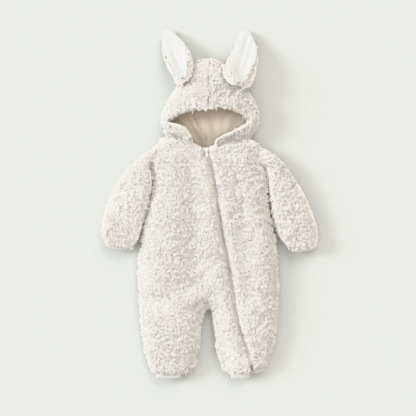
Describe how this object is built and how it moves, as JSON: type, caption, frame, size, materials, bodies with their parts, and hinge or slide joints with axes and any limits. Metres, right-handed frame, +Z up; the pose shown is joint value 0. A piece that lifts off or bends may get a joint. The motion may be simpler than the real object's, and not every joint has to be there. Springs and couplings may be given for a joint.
{
  "type": "hooded baby romper with rabbit ears, laid flat",
  "caption": "Plush footless baby romper with a hood, rabbit ears and a diagonal front zip to one ankle, laid flat on its back.",
  "frame": {"origin": "middle of the garment's outline, on the surface that it lies on", "axes": "+Y from the legs to the ears, +X to the wearer's left, +Z up out of the front"},
  "size_m": [0.4626, 0.7358, 0.0588],
  "materials": {
    "plush": "deep curly sherpa plush, ivory",
    "lining": "smooth woven lining, warm beige",
    "satin": "smooth short velvet with a soft sheen, white",
    "cuff_knit": "smooth narrow knit band, white",
    "zip_tape": "woven zip tape, cream",
    "zip_plastic": "moulded plastic, off-white"
  },
  "bodies": {
    "garment": {"front_right_panel": "plush", "front_left_panel": "plush", "back_panel": "plush", "sleeve_right": "plush", "sleeve_left": "plush", "sleeve_cuff_right": "cuff_knit", "sleeve_cuff_left": "cuff_knit", "ankle_cuff_right": "cuff_knit", "ankle_cuff_left": "cuff_knit", "hood_right": "plush", "hood_left": "plush", "hood_lining_right": "lining", "hood_lining_left": "lining", "ear_right_outer": "plush", "ear_left_outer": "plush", "ear_right_inner": "satin", "ear_left_inner": "satin", "zip_tape_right": "zip_tape", "zip_tape_left": "zip_tape", "zip_chain": "zip_plastic", "zip_slider": "zip_plastic"},
    "pull_tab": {"zip_pull": "zip_plastic"}
  },
  "joints": [
    {"name": "pull_tab_swing", "type": "hinge", "parent": "garment", "child": "pull_tab", "pos_m": [-0.0077, 0.11173, 0.0227], "axis": [-0.9884, -0.1519, 0], "range_deg": [0, 150]}
  ]
}
